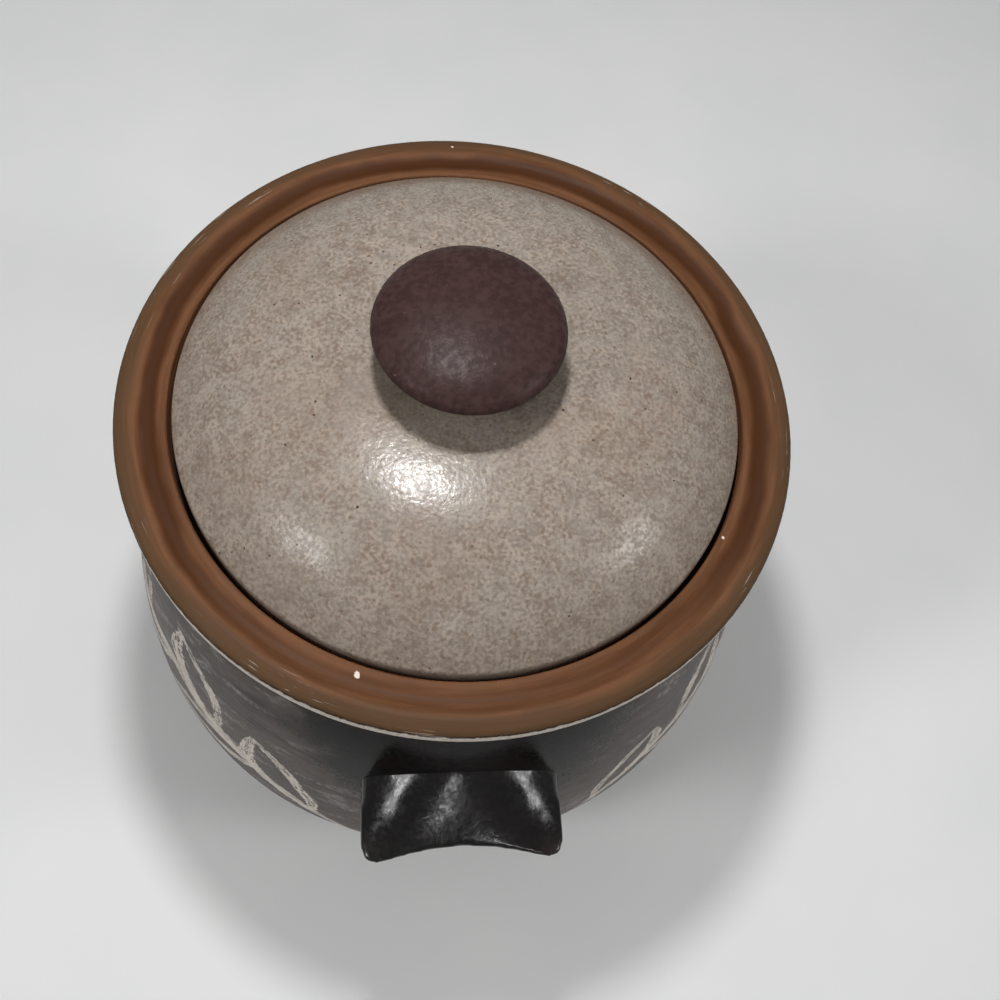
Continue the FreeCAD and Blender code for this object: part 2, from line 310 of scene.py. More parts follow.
# %% Sizes of a lug
LUG_LIP, LUG_UNDERCUT = BELLY + 9.5 * MM, 3 * MM
LUG_LIP_TOP, LUG_LIP_UNDER, LUG_UNDER = LUG_TOP - 11.5 * MM, LUG_TOP - 20 * MM, LUG_TOP - 26 * MM
LUG_HALF, LUG_STEPS = 25.5 * MM, 51
LUG_CREST, LUG_HOLLOW, LUG_BACK = NECK + 5 * MM, 8 * MM, NECK - WALL
LIP_SWEEP, LIP_CORNER = 4.8 * MM, 5.5 * MM
CREST_SWEEP, CREST_CORNER, CREST_FALL = 7 * MM, 3 * MM, 12 * MM
SMEAR_RADII, SMEAR_IN, SMEAR_DOWN = (21.5 * MM, 41 * MM, 29 * MM), 17.5 * MM, 2 * MM
GRAIN, RUBBINGS, MORE_RUBBINGS = 0.8 * MM, 10, 70
CORE_OUT, CORE_BELOW, CORE_ABOVE, SLIVER = 2 * MM, 20 * MM, 14 * MM, 0.06 * MM
print(f"lug from {LUG_UNDER:.4f} to {LUG_TOP:.4f}, lip at {LUG_LIP:.4f}")

# %% The block, drawn towards +X: its side outline is extruded across in steps
rising = [math.radians(15 * step) for step in range(1, 7)]
hollow = [(LUG_CREST - LUG_HOLLOW * math.sin(angle), LUG_TOP + LUG_HOLLOW * (1 - math.cos(angle)))
          for angle in rising]
lug = draw_outline("lug_front", [
    (LUG_LIP, LUG_LIP_TOP), (LUG_LIP - LUG_UNDERCUT, LUG_LIP_UNDER), (LUG_CREST, LUG_UNDER),
    (LUG_BACK, LUG_UNDER), (LUG_BACK, hollow[-1][1]), *reversed(hollow), (LUG_CREST, LUG_TOP),
    (LUG_LIP, LUG_LIP_TOP)])
bpy.ops.mesh.select_all(action="SELECT")
bpy.ops.mesh.remove_doubles(threshold=SAME_PLACE)
bpy.ops.mesh.select_all(action="SELECT")
bpy.ops.mesh.edge_face_add()
bpy.ops.transform.translate(value=(0, -LUG_HALF, 0))
for step in range(LUG_STEPS):
    bpy.ops.mesh.extrude_region_move(
        TRANSFORM_OT_translate={"value": (0, 2 * LUG_HALF / LUG_STEPS, 0)})

# %% Each step is pushed out and down towards the ends, and back again at the corners
def rounded_off(side, corner):
    """How far a corner of this radius falls back at a distance to the side."""
    into = max(0, min(corner, side - LUG_HALF + corner))
    return corner - math.sqrt(corner ** 2 - into ** 2)


def pick_step(across, low, high=POT_HEIGHT):
    """Pick the points of one step of the block that lie between two heights."""
    pick(lug, "VERT", lambda vertex: low < vertex.co.z < high
         and abs(vertex.co.y - across) < NEAR)


for step in range(LUG_STEPS + 1):
    across = LUG_HALF * (2 * step / LUG_STEPS - 1)
    share, side = (across / LUG_HALF) ** 2, abs(across)
    bend = share ** 0.9
    pick_step(across, LUG_TOP + NEAR)
    bpy.ops.transform.resize(value=(1, 1, 1 - 0.9 * share), center_override=(0, 0, LUG_TOP))
    pick_step(across, LUG_LIP_TOP + MM)
    bpy.ops.transform.translate(
        value=(CREST_SWEEP * bend - rounded_off(side, CREST_CORNER), 0, -CREST_FALL * bend))
    pick_step(across, LUG_LIP_UNDER - MM, LUG_LIP_TOP + MM)
    bpy.ops.transform.translate(value=(LIP_SWEEP * bend - rounded_off(side, LIP_CORNER), 0, 0))
bpy.ops.mesh.select_all(action="SELECT")
bpy.ops.mesh.normals_make_consistent(inside=False)
bpy.ops.object.mode_set(mode="OBJECT")
print("block:", [round(size, 4) for size in lug.dimensions])

# %% The clay smeared round the joint
smear_height = (LUG_TOP + LUG_UNDER) / 2
steepness = (LUG_CREST - BELLY) / (LUG_TOP - BELLY_HEIGHT)
smear_out = LUG_CREST - (smear_height - LUG_TOP) * steepness
let_go_of_all()
bpy.ops.mesh.primitive_uv_sphere_add(
    segments=64, ring_count=32, radius=1,
    location=(smear_out - SMEAR_IN, 0, smear_height - SMEAR_DOWN))
smear = bpy.context.object
smear.scale = SMEAR_RADII
smear.rotation_euler = (0, math.atan(steepness), 0)
apply_place(smear)
take(lug)
smear.select_set(True)
bpy.ops.object.join()

# %% Melted together and smoothed
lug.data.remesh_voxel_size = GRAIN
take(lug)
bpy.ops.object.voxel_remesh()
print("melted:", len(lug.data.polygons), "faces")
apply_modifier(lug, "SMOOTH", factor=0.5, iterations=RUBBINGS)
for chosen in (
    lambda vertex: vertex.co.z > LUG_LIP_TOP + 5 * MM or vertex.co.xy.length < BELLY + 2 * MM,
    lambda vertex: vertex.co.z > LUG_LIP_TOP + 2 * MM and abs(vertex.co.y) > 17 * MM
    and vertex.co.xy.length < BELLY + 5 * MM,
):
    apply_modifier(lug, "SMOOTH", factor=0.5, iterations=MORE_RUBBINGS,
                   vertex_group=group_points(lug, chosen))

# %% The back cut off inside the wall, and the slivers that the cut leaves merged
core_low, core_high = LUG_UNDER - CORE_BELOW, LUG_TOP + CORE_ABOVE
let_go_of_all()
bpy.ops.mesh.primitive_cone_add(
    vertices=192, radius1=smear_out + CORE_OUT + (core_low - smear_height) * steepness,
    radius2=smear_out + CORE_OUT + (core_high - smear_height) * steepness,
    depth=core_high - core_low, location=(0, 0, (core_low + core_high) / 2))
core = bpy.context.object
apply_place(core)
apply_modifier(lug, "BOOLEAN", object=core, operation="DIFFERENCE", solver="EXACT")
bpy.data.objects.remove(core)
take(lug)
bpy.ops.object.mode_set(mode="EDIT")
bpy.ops.mesh.select_all(action="SELECT")
bpy.ops.mesh.remove_doubles(threshold=SLIVER)
bpy.ops.mesh.quads_convert_to_tris()
bpy.ops.mesh.dissolve_degenerate(threshold=SLIVER)
bpy.ops.object.mode_set(mode="OBJECT")

# %% Turned to the front, and copied to the rear
lug.rotation_euler = (0, 0, -math.pi / 2)
apply_place(lug)
bpy.ops.object.shade_smooth()
rear_lug = lug.copy()
rear_lug.data = lug.data.copy()
rear_lug.name = rear_lug.data.name = "lug_rear"
bpy.context.collection.objects.link(rear_lug)
rear_lug.rotation_euler = (0, 0, math.pi)
apply_place(rear_lug)
print("lug:", len(lug.data.polygons), "faces,", [round(size, 4) for size in lug.dimensions])

# %% [markdown]
# # Words for building a finish
# A finish is a tree of nodes that works out colour, roughness and a little height at every point
# of the clay. It could be painted by hand on an unwrapped surface, but a pattern on Object
# coordinates has no seams and goes on round the back. The helpers below add a node and give back
# its answer, so a tree reads like a recipe. Heights are in millimetres.

# %% Adding and joining nodes
def add_node(tree, kind, inputs, **settings):
    """Add a node. Its inputs are plain values, or answers of other nodes to be joined up."""
    node = tree.nodes.new("ShaderNode" + kind)
    for key, value in settings.items():
        setattr(node, key, value)
    for key, value in inputs.items():
        if isinstance(value, bpy.types.NodeSocket):
            tree.links.new(value, node.inputs[key])
        else:
            node.inputs[key].default_value = value
    return node


def calc(tree, operation, first, second=0.5):
    return add_node(tree, "Math", {0: first, 1: second}, operation=operation).outputs[0]


def plus(tree, first, second):
    return calc(tree, "ADD", first, second)


def minus(tree, first, second):
    return calc(tree, "SUBTRACT", first, second)


def times(tree, first, second):
    return calc(tree, "MULTIPLY", first, second)


def vector(tree, operation, first, second=(0, 0, 0), answer="Vector"):
    return add_node(tree, "VectorMath", {0: first, 1: second}, operation=operation).outputs[answer]


def scaled(tree, place, factor):
    return add_node(tree, "VectorMath", {0: place, "Scale": factor}, operation="SCALE").outputs[0]


def ease(tree, value, start, end, low=0.0, high=1.0):
    """Goes smoothly from low to high while the value goes from start to end."""
    limits = {"Value": value, "From Min": start, "From Max": end, "To Min": low, "To Max": high}
    return add_node(tree, "MapRange", limits, interpolation_type="SMOOTHSTEP").outputs[0]


def blend(tree, mask, first, second, kind="RGBA"):
    """First where the mask is 0 and second where it is 1, for colours or, as FLOAT, numbers."""
    a, b, answer = {"RGBA": (6, 7, 2), "FLOAT": (2, 3, 0)}[kind]
    return add_node(tree, "Mix", {0: mask, a: first, b: second}, data_type=kind).outputs[answer]


def noise(tree, place, size, detail=2.0, answer=0, **inputs):
    """Soft random values with features of about the size given, which may be another answer."""
    scale = calc(tree, "DIVIDE", 1, size) if isinstance(size, bpy.types.NodeSocket) else 1 / size
    values = {"Vector": place, "Scale": scale, "Detail": detail, **inputs}
    return add_node(tree, "TexNoise", values).outputs[answer]


# %% Effects and glazes are kept as node groups
def start_group(name, inputs, outputs):
    """A new node group. An input that is given as three numbers is a vector."""
    group = bpy.data.node_groups.new(name, "ShaderNodeTree")
    for title, value in inputs.items():
        kind = "NodeSocketVector" if isinstance(value, tuple) else "NodeSocketFloat"
        group.interface.new_socket(title, in_out="INPUT", socket_type=kind).default_value = value
    for title in outputs:
        kind = "NodeSocketColor" if title == "Color" else "NodeSocketFloat"
        group.interface.new_socket(title, in_out="OUTPUT", socket_type=kind)
    return group, group.nodes.new("NodeGroupInput").outputs


def put_out(group, **answers):
    end = group.nodes.new("NodeGroupOutput")
    for title, answer in answers.items():
        group.links.new(answer, end.inputs[title])
    print(f"{group.name}: {len(group.nodes)} nodes")


def use(tree, name, **inputs):
    """Place a finished group in a tree and give back its outputs."""
    node = tree.nodes.new("ShaderNodeGroup")
    node.node_tree = bpy.data.node_groups[name]
    for key, value in inputs.items():
        if isinstance(value, bpy.types.NodeSocket):
            tree.links.new(value, node.inputs[key])
        else:
            node.inputs[key].default_value = value
    return node.outputs


# %% [markdown]
# # Effects that several finishes share
# Iron in the clay melts through the glaze as dark specks. Glaze crawls into fine mottles, and its
# skin is dimpled like an orange's. Fingers and brushes leave streaks round the wheel's axis. The
# edge where glaze stops is never straight, and a scratch goes the way the cloth went. Each effect
# could be made again in every material, but as a group it is built once and placed with its own
# size and share.

# %% Specks
ORIGIN = (0.0, 0.0, 0.0)
group, given = start_group("iron_specks", {"Point": ORIGIN, "Spacing": 3 * MM, "Size": 0.2,
                                           "Share": 0.4}, ["Mask"])
grid = scaled(group, given["Point"], calc(group, "DIVIDE", 1, given["Spacing"]))
wander = noise(group, grid, 0.4, answer=1)
cells = add_node(group, "TexVoronoi", {
    "Vector": vector(group, "ADD", grid, scaled(group, wander, 0.3)), "Scale": 1}).outputs
chance = add_node(group, "SeparateColor", {"Color": cells["Color"]}).outputs
chosen = calc(group, "LESS_THAN", chance["Red"], given["Share"])
reach = times(group, given["Size"], ease(group, chance["Green"], 0, 1, 0.5, 1.3))
spot = ease(group, cells["Distance"], reach, times(group, reach, 0.6))
put_out(group, Mask=times(group, chosen, spot))

# %% Mottles
group, given = start_group("mottle", {"Point": ORIGIN, "Size": MM}, ["Value"])
fine = noise(group, given["Point"], given["Size"], 3)
coarse = noise(group, given["Point"], times(group, given["Size"], 5))
put_out(group, Value=ease(group, blend(group, 0.3, fine, coarse, "FLOAT"), 0.38, 0.62))

# %% Streaks round the wheel's axis
group, given = start_group("wheel_streaks", {"Point": ORIGIN, "Across": MM, "Along": 30 * MM},
                           ["Value"])
flat = vector(group, "MULTIPLY", given["Point"], (1, 1, 0))
radius = vector(group, "LENGTH", flat, answer="Value")
height = add_node(group, "SeparateXYZ", {0: given["Point"]}).outputs["Z"]
on_ring = scaled(group, vector(group, "NORMALIZE", flat),
                 calc(group, "DIVIDE", BELLY, given["Along"]))
across = add_node(group, "CombineXYZ", {"Z": calc(group, "DIVIDE", radius, given["Across"])})
streak = add_node(group, "TexNoise", {
    "Vector": vector(group, "ADD", on_ring, across.outputs[0]), "Scale": 1, "Detail": 2,
    "W": calc(group, "DIVIDE", height, given["Across"])}, noise_dimensions="4D")
put_out(group, Value=ease(group, streak.outputs[0], 0.35, 0.65))

# %% A band with ragged edges
group, given = start_group("ragged_band", {"Value": 0.0, "From": 0.0, "To": MM, "Soft": 0.2 * MM,
                                           "Ragged": 0.3 * MM, "Point": ORIGIN}, ["Mask"])
wander = minus(group, noise(group, given["Point"], 2 * MM, 4, Roughness=0.7), 0.5)
wander = times(group, wander, times(group, given["Ragged"], 4))
value = plus(group, given["Value"], wander)
rise = ease(group, value, minus(group, given["From"], given["Soft"]),
            plus(group, given["From"], given["Soft"]))
fall = ease(group, value, plus(group, given["To"], given["Soft"]),
            minus(group, given["To"], given["Soft"]))
put_out(group, Mask=times(group, rise, fall))

# %% The dimpled skin of a glaze
group, given = start_group("dimples", {"Point": ORIGIN, "Size": MM}, ["Height"])
broad = noise(group, given["Point"], times(group, given["Size"], 2.2), 1)
small = noise(group, given["Point"], times(group, given["Size"], 0.8), 1)
put_out(group, Height=blend(group, 0.4, broad, small, "FLOAT"))

# %% [markdown]
# # The glazes
# A potter mixes each glaze once and dips many pots in it. In the same way each glaze here is a
# group that gives a colour, a roughness and a height, and a material can lay one over another with
# a mask, where the real glazes overlap or stop.

# %% Bare clay, where no glaze was left
FINISH = ["Color", "Roughness", "Height"]
group, given = start_group("bare_clay", {"Point": ORIGIN}, FINISH)
point = given["Point"]
grain = noise(group, point, 0.5 * MM, 3)
colour = blend(group, ease(group, grain, 0.35, 0.65), (0.50, 0.44, 0.38, 1), (0.68, 0.62, 0.56, 1))
sand = use(group, "iron_specks", Point=point, Spacing=1.5 * MM, Size=0.2, Share=0.3)["Mask"]
colour = blend(group, times(group, sand, 0.55), colour, (0.17, 0.12, 0.08, 1))
put_out(group, Color=colour, Roughness=ease(group, grain, 0.3, 0.7, 0.75, 0.95),
        Height=times(group, grain, 0.08))

# %% Oatmeal glaze, for the lid
group, given = start_group("oatmeal", {"Point": ORIGIN}, FINISH)
point = given["Point"]
small = use(group, "mottle", Point=point, Size=0.9 * MM)["Value"]
large = use(group, "mottle", Point=vector(group, "ADD", point, (0.2, 0, 0)), Size=2.2 * MM)["Value"]
colour = blend(group, small, (0.190, 0.145, 0.112, 1), (0.345, 0.292, 0.240, 1))
colour = blend(group, times(group, large, 0.4), colour, (0.262, 0.240, 0.212, 1))
rust = use(group, "iron_specks", Point=point, Spacing=1.7 * MM, Size=0.24, Share=0.4)["Mask"]
colour = blend(group, times(group, rust, 0.6), colour, (0.15, 0.105, 0.07, 1))
iron = use(group, "iron_specks", Point=point, Spacing=3.2 * MM, Size=0.1, Share=0.35)["Mask"]
colour = blend(group, iron, colour, (0.04, 0.027, 0.019, 1))
skin = use(group, "dimples", Point=point, Size=1.1 * MM)["Height"]
put_out(group, Color=colour, Roughness=ease(group, small, 0, 1, 0.31, 0.22),
        Height=times(group, skin, 0.12))

# %% Iron glaze, for the knob
group, given = start_group("iron_brown", {"Point": ORIGIN}, FINISH)
point = given["Point"]
cloud = use(group, "mottle", Point=point, Size=1.6 * MM)["Value"]
colour = blend(group, cloud, (0.032, 0.0155, 0.0145, 1), (0.050, 0.027, 0.025, 1))
pale = use(group, "iron_specks", Point=point, Spacing=2.4 * MM, Size=0.1, Share=0.25)["Mask"]
colour = blend(group, times(group, pale, 0.45), colour, (0.2, 0.15, 0.13, 1))
skin = use(group, "dimples", Point=point, Size=0.7 * MM)["Height"]
put_out(group, Color=colour, Roughness=ease(group, cloud, 0, 1, 0.46, 0.38),
        Height=times(group, skin, 0.1))

# %% Brown glaze, for the rim and the inside
group, given = start_group("tan_brown", {"Point": ORIGIN}, FINISH)
point = given["Point"]
streak = use(group, "wheel_streaks", Point=point, Across=1.4 * MM, Along=25 * MM)["Value"]
cloud = use(group, "mottle", Point=point, Size=3 * MM)["Value"]
colour = blend(group, streak, (0.116, 0.048, 0.021, 1), (0.165, 0.071, 0.033, 1))
colour = blend(group, times(group, cloud, 0.3), colour, (0.112, 0.058, 0.029, 1))
skin = use(group, "dimples", Point=point, Size=0.9 * MM)["Height"]
put_out(group, Color=colour, Roughness=ease(group, streak, 0, 1, 0.44, 0.56),
        Height=times(group, skin, 0.06))

# %% Black glaze, for the lugs and the neck above them, and for the painted shade under the rim
group, given = start_group("glossy_black", {"Point": ORIGIN}, FINISH)
point = given["Point"]
cloud = use(group, "mottle", Point=point, Size=1.3 * MM)["Value"]
patch = use(group, "mottle", Point=point, Size=7 * MM)["Value"]
colour = blend(group, cloud, (0.006, 0.0056, 0.0052, 1), (0.0095, 0.009, 0.0085, 1))
colour = blend(group, times(group, patch, 0.5), colour, (0.014, 0.008, 0.008, 1))
skin = use(group, "dimples", Point=point, Size=1.1 * MM)["Height"]
put_out(group, Color=colour, Roughness=ease(group, cloud, 0, 1, 0.15, 0.26),
        Height=times(group, skin, 0.045))

# %% Slate glaze, for the wall: brushed on in sweeps, thin and pale in places, olive lower down
group, given = start_group("slate", {"Point": ORIGIN}, FINISH)
point = given["Point"]
tilted = add_node(group, "VectorRotate", {
    "Vector": point, "Axis": (1, 0, 0), "Angle": 0.35}).outputs[0]
streak = use(group, "wheel_streaks", Point=point, Across=0.8 * MM, Along=20 * MM)["Value"]
sweep = use(group, "wheel_streaks", Point=tilted, Across=5 * MM, Along=45 * MM)["Value"]
cloud = use(group, "mottle", Point=point, Size=3 * MM)["Value"]
colour = blend(group, sweep, (0.039, 0.027, 0.028, 1), (0.146, 0.116, 0.108, 1))
olive = use(group, "mottle", Point=vector(group, "ADD", point, (0, 0, 0.3)), Size=6 * MM)["Value"]
colour = blend(group, times(group, olive, 0.5), colour, (0.095, 0.088, 0.062, 1))
colour = blend(group, times(group, streak, 0.22), colour, (0.158, 0.132, 0.12, 1))
colour = blend(group, times(group, cloud, 0.35), colour, (0.045, 0.035, 0.034, 1))
thin = use(group, "wheel_streaks", Point=vector(group, "ADD", tilted, (0, 0, 0.5)), Across=4 * MM,
           Along=16 * MM)["Value"]
thin = times(group, ease(group, thin, 0.8, 1),
             use(group, "mottle", Point=point, Size=1.2 * MM)["Value"])
colour = blend(group, times(group, thin, 0.65), colour, (0.27, 0.25, 0.235, 1))
skin = use(group, "dimples", Point=point, Size=1.5 * MM)["Height"]
height = plus(group, times(group, skin, 0.06), times(group, streak, 0.03))
put_out(group, Color=colour, Roughness=ease(group, sweep, 0, 1, 0.34, 0.46), Height=height)

# %% The black poured over the slate round each lug and up to the rim, and painted shade under the rim
group, given = start_group("poured_black_and_rim_shade", {"Point": ORIGIN}, ["Mask"])
part = add_node(group, "SeparateXYZ", {0: given["Point"]}).outputs
sideways = calc(group, "DIVIDE", part["X"], 47 * MM)
upwards = calc(group, "DIVIDE", minus(group, part["Z"], NECK_HEIGHT - 8 * MM), 40 * MM)
away = calc(group, "SQRT", plus(group, calc(group, "POWER", sideways, 2),
                                calc(group, "POWER", upwards, 2)))
wander = minus(group, noise(group, given["Point"], 14 * MM, 4), 0.5)
away = plus(group, away, times(group, wander, 0.6))
black_mask = ease(group, away, 1.2, 0.75)
# Painted shade: all round under the rim, the wall is turned towards black where the rim's overhang
# shades it.
painted_rim_shade = ease(group, part["Z"], NECK_HEIGHT - 9 * MM, NECK_HEIGHT - 2 * MM)
put_out(group, Mask=calc(group, "MAXIMUM", black_mask, times(group, painted_rim_shade, 0.85)))

# %% [markdown]
# # The scratched sprigs
# Before the slate glaze was fired, the potter drew on the wall with a stick, down to the pale clay.
# The lines here are sprigs of leaves, one in each quarter of the wall between the lugs, every other
# one turned about, as a hand would do it. They could be cut into the mesh, but they are a fraction
# of a millimetre deep, so a mask draws them. A stroke is an arc between two points that is broad in
# the middle. The wall is unrolled to a flat sheet, in millimetres, to draw on.

# %% One stroke
group, given = start_group("stroke", {"Place": ORIGIN, "Start": ORIGIN, "End": ORIGIN, "Bend": 0.0,
                                      "Width": 2.5}, ["Mask"])
along = vector(group, "SUBTRACT", given["End"], given["Start"])
out = vector(group, "SUBTRACT", given["Place"], given["Start"])
length = vector(group, "DOT_PRODUCT", along, along, answer="Value")
share = calc(group, "DIVIDE", vector(group, "DOT_PRODUCT", out, along, answer="Value"), length)
share = add_node(group, "Clamp", {"Value": share}).outputs[0]
belly = times(group, share, minus(group, 1, share))
belly = times(group, belly, 4)
sideways = vector(group, "NORMALIZE", vector(group, "CROSS_PRODUCT", along, (0, 0, 1)))
line = vector(group, "ADD", given["Start"], scaled(group, along, share))
line = vector(group, "ADD", line, scaled(group, sideways, times(group, belly, given["Bend"])))
away = vector(group, "DISTANCE", given["Place"], line, answer="Value")
half = times(group, given["Width"], ease(group, belly, 0, 1, 0.24, 0.5))
mask = ease(group, away, plus(group, half, 0.18), minus(group, half, 0.18))
flow = vector(group, "DOT_PRODUCT", given["Place"], vector(group, "NORMALIZE", along),
              answer="Value")
drag = add_node(group, "CombineXYZ", {"X": calc(group, "DIVIDE", flow, 7), "Y": away}).outputs[0]
left_dark = ease(group, noise(group, drag, 0.7, 3, Roughness=0.7), 0.39, 0.49)
put_out(group, Mask=times(group, mask, left_dark))

# %% The sprig, as strokes on the unrolled wall
SPRIG_RADIUS = 80
stem_start, stem_end, stem_bend = Vector((-34, 50)), Vector((52, 88)), -10
stem = stem_end - stem_start
stem_side = Vector((stem.y, -stem.x)).normalized()
strokes = [(stem_start, stem_end, stem_bend, 6.6)]
for share, angle, length in ((0.12, 38, 36), (0.3, -30, 34), (0.46, 36, 34), (0.66, -30, 31),
                             (0.84, 34, 26), (1, 6, 26)):
    root = stem_start + share * stem + 4 * share * (1 - share) * stem_bend * stem_side
    heading = math.atan2(stem.y, stem.x) + math.radians(angle)
    tip = root + length * Vector((math.cos(heading), math.sin(heading)))
    strokes += [(root, tip, 0.2 * length, 5.6), (root, tip, -0.17 * length, 4)]
print("strokes in a sprig:", len(strokes))

# %% Sprigs all round
group, given = start_group("sprigs", {"Point": ORIGIN}, ["Mask"])
part = add_node(group, "SeparateXYZ", {0: given["Point"]}).outputs
turns = calc(group, "ARCTAN2", part["X"], times(group, part["Y"], -1))
quarters = calc(group, "DIVIDE", turns, math.pi / 2)
number = calc(group, "FLOOR", quarters)
turned_about = calc(group, "FLOORED_MODULO", number, 2)
reach = times(group, minus(group, calc(group, "FRACT", quarters), 0.5),
              SPRIG_RADIUS * math.pi / 2)
hand = minus(group, 1, times(group, turned_about, 2))
sheet = add_node(group, "CombineXYZ", {"X": times(group, reach, hand),
                                       "Y": calc(group, "DIVIDE", part["Z"], MM)}).outputs[0]
for size, strength in ((30 * MM, 9), (1.3 * MM, 1.9)):
    shake = noise(group, given["Point"], size, 1, answer=1)
    shake = vector(group, "MULTIPLY", vector(group, "SUBTRACT", shake, (0.5, 0.5, 0.5)),
                   (strength, strength, 0))
    sheet = vector(group, "ADD", sheet, shake)
mask = 0.0
for start, end, bend, width in strokes:
    drawn = use(group, "stroke", Place=sheet, Start=(*start, 0), End=(*end, 0), Bend=bend,
                Width=width)["Mask"]
    mask = calc(group, "MAXIMUM", drawn, mask)
put_out(group, Mask=mask)


# %% [markdown]
# # The materials
# Each material places the glazes it needs, lays them over each other with masks, and ends in one
# Principled BSDF, which turns the height into bumps. The pot has three: its outside, its rim and
# its inside, which meet where both sides look the same, so no join shows.

# %% Laying finishes over each other
def lay_over(tree, mask, under, over):
    return {part: blend(tree, mask, under[part], over[part], "RGBA" if part == "Color" else "FLOAT")
            for part in FINISH}


def tinted(tree, finish, mask, colour):
    return {**{part: finish[part] for part in FINISH},
            "Color": blend(tree, mask, finish["Color"], colour)}


def start_material(name):
    """A new material, its tree, and the Object coordinates of a point in it."""
    material = bpy.data.materials.new(name)
    material.use_nodes = True
    tree = material.node_tree
    return material, tree, add_node(tree, "TexCoord", {}).outputs["Object"]


def height_and_radius(tree, point):
    """How high a point is, and how far from the axis."""
    height = add_node(tree, "SeparateXYZ", {0: point}).outputs["Z"]
    radius = vector(tree, "LENGTH", vector(tree, "MULTIPLY", point, (1, 1, 0)), answer="Value")
    return height, radius


def finish_material(tree, finish, gloss=0.5):
    shader = tree.nodes["Principled BSDF"]
    shader.inputs["Specular IOR Level"].default_value = gloss
    bump = add_node(tree, "Bump", {"Height": finish["Height"], "Distance": MM})
    tree.links.new(finish["Color"], shader.inputs["Base Color"])
    tree.links.new(finish["Roughness"], shader.inputs["Roughness"])
    tree.links.new(bump.outputs[0], shader.inputs["Normal"])


# %% The finish that the wall and the lugs share, with painted shade under the rim, and the brown of painted shade inside the gap round the lid
GAP_SHADE_BROWN = (0.05, 0.022, 0.012, 1)


def slate_with_black_and_rim_shade(tree, point):
    """Slate, with the black that was poured over it and the painted shade under the rim."""
    black_mask = use(tree, "poured_black_and_rim_shade", Point=point)["Mask"]
    return lay_over(tree, black_mask, use(tree, "slate", Point=point),
                    use(tree, "glossy_black", Point=point))


# %% The outside of the pot: slate with poured black and painted shade under the rim, bare at the foot, with sprigs
slate_wall, tree, point = start_material("slate_wall")
height = height_and_radius(tree, point)[0]
finish = slate_with_black_and_rim_shade(tree, point)
drawn = use(tree, "sprigs", Point=point)["Mask"]
clay = use(tree, "bare_clay", Point=point)
cut = {"Color": blend(tree, 0.5, clay["Color"], (0.76, 0.7, 0.64, 1)),
       "Roughness": clay["Roughness"], "Height": minus(tree, clay["Height"], 0.2)}
finish = lay_over(tree, drawn, finish, cut)
unglazed = use(tree, "ragged_band", Value=height, From=-MM, To=6.5 * MM, Ragged=0.8 * MM,
               Point=point)["Mask"]
finish_material(tree, lay_over(tree, unglazed, finish, clay), gloss=0.1)

# %% The rim: brown, dark in the cove from pooled glaze and painted shade, most at the back, and olive outside it
brown_rim, tree, point = start_material("brown_rim")
height, radius = height_and_radius(tree, point)
finish = use(tree, "tan_brown", Point=point)
wander = minus(tree, noise(tree, point, 22 * MM, 2), 0.5)
shifted = plus(tree, radius, times(tree, wander, 5 * MM))
off_cove = calc(tree, "ABSOLUTE", minus(tree, shifted, COVE_START + 3.2 * MM))
northward = add_node(tree, "SeparateXYZ", {0: point}).outputs["Y"]
# The cove's darkening is partly glaze pooled there and partly painted shade of the hollow, weaker
# at the front.
pooled_and_cove_shade = times(tree, ease(tree, off_cove, 3.4 * MM, 0.9 * MM),
               ease(tree, northward, -72 * MM, -30 * MM, 0.4, 1))
finish = tinted(tree, finish, pooled_and_cove_shade, (0.06, 0.0215, 0.0075, 1))
olive = ease(tree, shifted, RIM - 5.5 * MM, RIM - 2 * MM)
finish = tinted(tree, finish, times(tree, olive, 0.7), (0.075, 0.046, 0.024, 1))

# %% The rim's outer edge: a dark line, then bare clay, and beneath it black as painted shade under the flange
on_edge = ease(tree, radius, RIM - 1.7 * MM, RIM - 1.2 * MM)
dark_line = use(tree, "ragged_band", Value=height, From=RIM_TOP - 1.6 * MM, To=RIM_TOP - 0.7 * MM,
                Ragged=0.25 * MM, Point=point)["Mask"]
finish = tinted(tree, finish, times(tree, dark_line, on_edge), (0.035, 0.02, 0.012, 1))
bare_line = use(tree, "ragged_band", Value=height, From=RIM_UNDER + 1.3 * MM,
                To=RIM_TOP - 1.25 * MM, Ragged=0.5 * MM, Point=point)["Mask"]
clay = use(tree, "bare_clay", Point=point)
finish = lay_over(tree, times(tree, bare_line, on_edge), finish, clay)
# Painted shade: the flange's underside is given the black glaze to stand for the shade under it.
underside_shade = ease(tree, height, RIM_UNDER + 1.6 * MM, RIM_UNDER + 1.1 * MM)
underside_shade = times(tree, underside_shade, ease(tree, radius, GALLERY + MM, GALLERY + 2 * MM))
finish = lay_over(tree, underside_shade, finish, use(tree, "glossy_black", Point=point))

# %% Wear on the rim: fine scratches near its edge, and three chips, in millimetres
fine = use(tree, "wheel_streaks", Point=point, Across=0.3 * MM, Along=16 * MM)["Value"]
short = use(tree, "wheel_streaks", Point=point, Across=0.5 * MM, Along=7 * MM)["Value"]
scratch = ease(tree, times(tree, fine, short), 0.72, 0.98)
worn = times(tree, ease(tree, radius, RIM - 6 * MM, RIM - MM),
             ease(tree, noise(tree, point, 30 * MM), 0.45, 0.6))
scratch = times(tree, times(tree, scratch, worn), 0.7)
finish = lay_over(tree, scratch, finish, clay)
CHIPS = ((-25.7, -69.1, 0.75), (0.9, 80.6, 0.3), (62.1, -37.0, 0.3))
ruffle = times(tree, noise(tree, point, 0.7 * MM, 3), MM)
from_above = vector(tree, "MULTIPLY", point, (1, 1, 0))
on_top = ease(tree, height, RIM_TOP - 3 * MM, RIM_TOP - 2 * MM)
